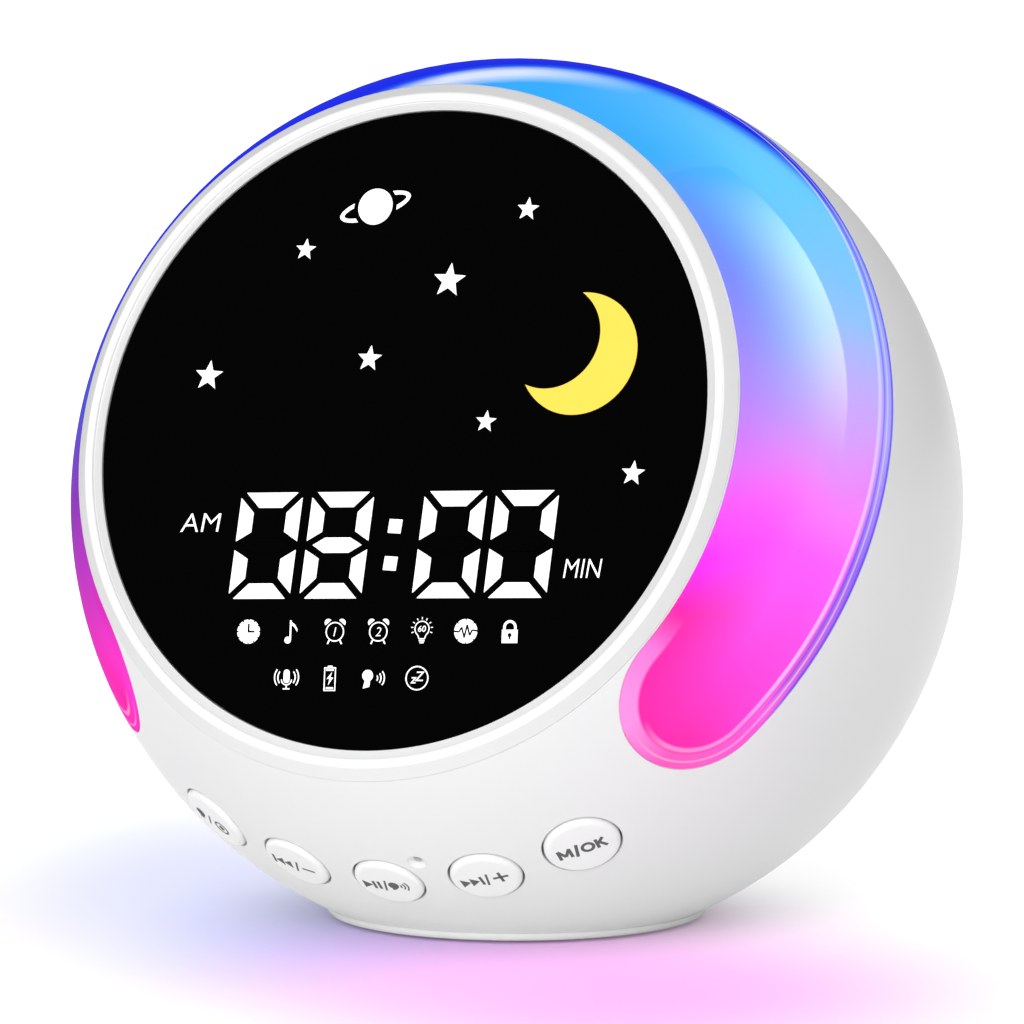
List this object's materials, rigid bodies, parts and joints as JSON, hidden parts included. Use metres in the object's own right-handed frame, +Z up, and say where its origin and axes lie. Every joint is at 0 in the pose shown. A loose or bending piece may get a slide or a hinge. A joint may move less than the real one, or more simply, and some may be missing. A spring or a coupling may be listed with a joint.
{
  "type": "kids alarm clock with night light",
  "caption": "Ball-shaped bedside alarm clock for children, with a tilted round display, a crescent night light over it and push buttons below.",
  "frame": {"origin": "centre of the foot pad's underside, on the table", "axes": "+Z up, the display faces -Y, +X is on the right of someone who reads the clock"},
  "size_m": [0.124, 0.1161, 0.1195],
  "materials": {
    "white_shell": "satin white moulded",
    "white_cover": "satin white moulded",
    "white_base": "satin white moulded",
    "grey_rubber": "matt",
    "zinc_screws": "zinc plated",
    "pale_grey_bezel": "glossy",
    "black_lens": "high gloss tinted",
    "lit_white": "lit milky guide",
    "dark_guide": "unlit guide",
    "lit_yellow": "lit milky guide",
    "lit_sky": "lit milky guide",
    "white_reflector": "matt white",
    "green_board": "solder mask",
    "lamp_chips": "moulded lamps",
    "clear_cover": "clear, polished",
    "lit_diffuser": "milky, lit from behind",
    "white_tray": "matt white",
    "white_flex": "flexible board",
    "black_carrier": "matt",
    "black_switches": "matt",
    "black_rubber": "matt",
    "microphone_can": "drawn can",
    "black_header": "matt",
    "black_chips": "matt",
    "capacitor_cans": "bare cans",
    "cream_sockets": "matt",
    "blue_cell": "sleeved",
    "black_cradle": "matt",
    "small_screws": "zinc plated",
    "speaker_steel": "black painted",
    "magnet": "bare ferrite and steel",
    "black_cone": "pressed",
    "black_foam": "foam",
    "socket_steel": "drawn",
    "white_buttons": "satin white",
    "black_plungers": "matt"
  },
  "bodies": {
    "housing": {"front_shell": "white_shell", "rear_cover": "white_cover", "base_plate": "white_base", "foot_pad": "grey_rubber", "base_screws": "zinc_screws", "rear_screws": "zinc_screws", "display_bezel": "pale_grey_bezel", "display_lens": "black_lens", "lit_segments": "lit_white", "unlit_segments": "dark_guide", "moon_guide": "lit_yellow", "sky_guides": "lit_sky", "display_reflector": "white_reflector", "display_board": "green_board", "display_chips": "lamp_chips", "display_screws": "zinc_screws", "light_cover": "clear_cover", "light_diffuser": "lit_diffuser", "light_tray": "white_tray", "light_strip": "white_flex", "light_chips": "lamp_chips", "button_bracket": "black_carrier", "bracket_screws": "zinc_screws", "switch_housings": "black_switches", "switch_boards": "green_board", "microphone_boot": "black_rubber", "microphone": "microphone_can", "main_board": "green_board", "board_screws": "zinc_screws", "board_header": "black_header", "main_chips": "black_chips", "main_capacitors": "capacitor_cans", "main_sockets": "cream_sockets", "battery_cell": "blue_cell", "battery_cradle": "black_cradle", "cradle_screws": "small_screws", "speaker_frame": "speaker_steel", "speaker_magnet": "magnet", "speaker_cone": "black_cone", "speaker_gasket": "black_foam", "speaker_screws": "small_screws", "inlet_socket": "socket_steel", "inlet_board": "green_board", "inlet_screws": "small_screws"},
    "button_lamp": {"button_lamp": "white_buttons", "plunger_lamp": "black_plungers"},
    "button_previous": {"button_previous": "white_buttons", "plunger_previous": "black_plungers"},
    "button_play": {"button_play": "white_buttons", "plunger_play": "black_plungers"},
    "button_next": {"button_next": "white_buttons", "plunger_next": "black_plungers"},
    "button_ok": {"button_ok": "white_buttons", "plunger_ok": "black_plungers"}
  },
  "joints": [
    {"name": "press_lamp", "type": "slide", "parent": "housing", "child": "button_lamp", "axis": [0.4491, 0.6028, 0.6595], "range_m": [0, 0.0006], "stiffness_N_per_m": 1200},
    {"name": "press_previous", "type": "slide", "parent": "housing", "child": "button_previous", "axis": [0.2316, 0.6336, 0.7382], "range_m": [0, 0.0006], "stiffness_N_per_m": 1200},
    {"name": "press_play", "type": "slide", "parent": "housing", "child": "button_play", "axis": [0, 0.6441, 0.7649], "range_m": [0, 0.0006], "stiffness_N_per_m": 1200},
    {"name": "press_next", "type": "slide", "parent": "housing", "child": "button_next", "axis": [-0.2316, 0.6336, 0.7382], "range_m": [0, 0.0006], "stiffness_N_per_m": 1200},
    {"name": "press_ok", "type": "slide", "parent": "housing", "child": "button_ok", "axis": [-0.4491, 0.6028, 0.6595], "range_m": [0, 0.0006], "stiffness_N_per_m": 1200}
  ]
}
